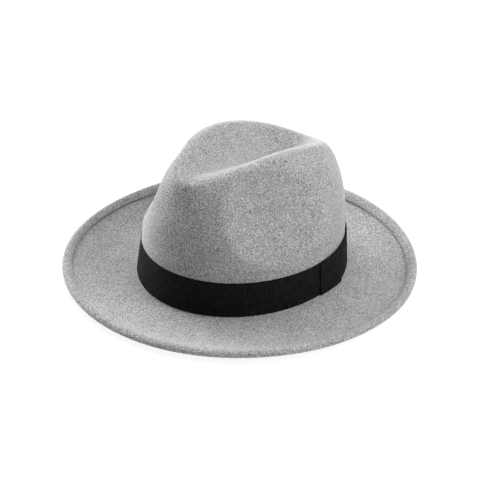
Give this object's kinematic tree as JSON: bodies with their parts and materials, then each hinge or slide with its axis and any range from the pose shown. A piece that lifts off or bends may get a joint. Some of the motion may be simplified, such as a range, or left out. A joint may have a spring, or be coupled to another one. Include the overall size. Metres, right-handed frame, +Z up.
{
  "type": "fedora hat",
  "caption": "Pinch-front wool felt fedora with a teardrop crown, a wired overwelt brim, a ribbon band with a flat bow and an adjustable sweatband.",
  "frame": {"origin": "under the middle of the brim, level with the brim's lowest point", "axes": "+Z up through the crown, -Y towards the front that the wearer faces, +X to the wearer's left, where the bow is"},
  "size_m": [0.2986, 0.3231, 0.122],
  "materials": {
    "wool_felt": "matt heather-grey wool felt with light and dark fibres",
    "grosgrain_ribbon": "near-black ribbed ribbon with a soft sheen",
    "sweatband_cloth": "black woven band, soft and matt",
    "strap_tape": "black woven tape",
    "loop_pile": "black looped pile",
    "grey_thread": "grey sewing thread",
    "black_thread": "black sewing thread",
    "spring_wire": "plain drawn steel wire"
  },
  "bodies": {
    "hat": {"felt_body": "wool_felt", "brim_wire": "spring_wire", "wire_joiner": "spring_wire", "welt_stitching": "grey_thread", "hat_band": "grosgrain_ribbon", "band_tacks": "black_thread", "bow_loop": "grosgrain_ribbon", "bow_knot": "grosgrain_ribbon", "bow_tacks": "black_thread", "sweatband": "sweatband_cloth", "sweatband_seam": "sweatband_cloth", "sweatband_stitching": "black_thread", "size_tape": "strap_tape", "tape_sleeve": "strap_tape", "loop_patch": "loop_pile"},
    "size_strap": {"hook_tab": "strap_tape"}
  },
  "joints": [
    {"name": "size_strap_slide", "type": "hinge", "parent": "hat", "child": "size_strap", "pos_m": [0, 0.03249, 0.012], "axis": [0, 0, -1], "range_deg": [0, 12]}
  ]
}
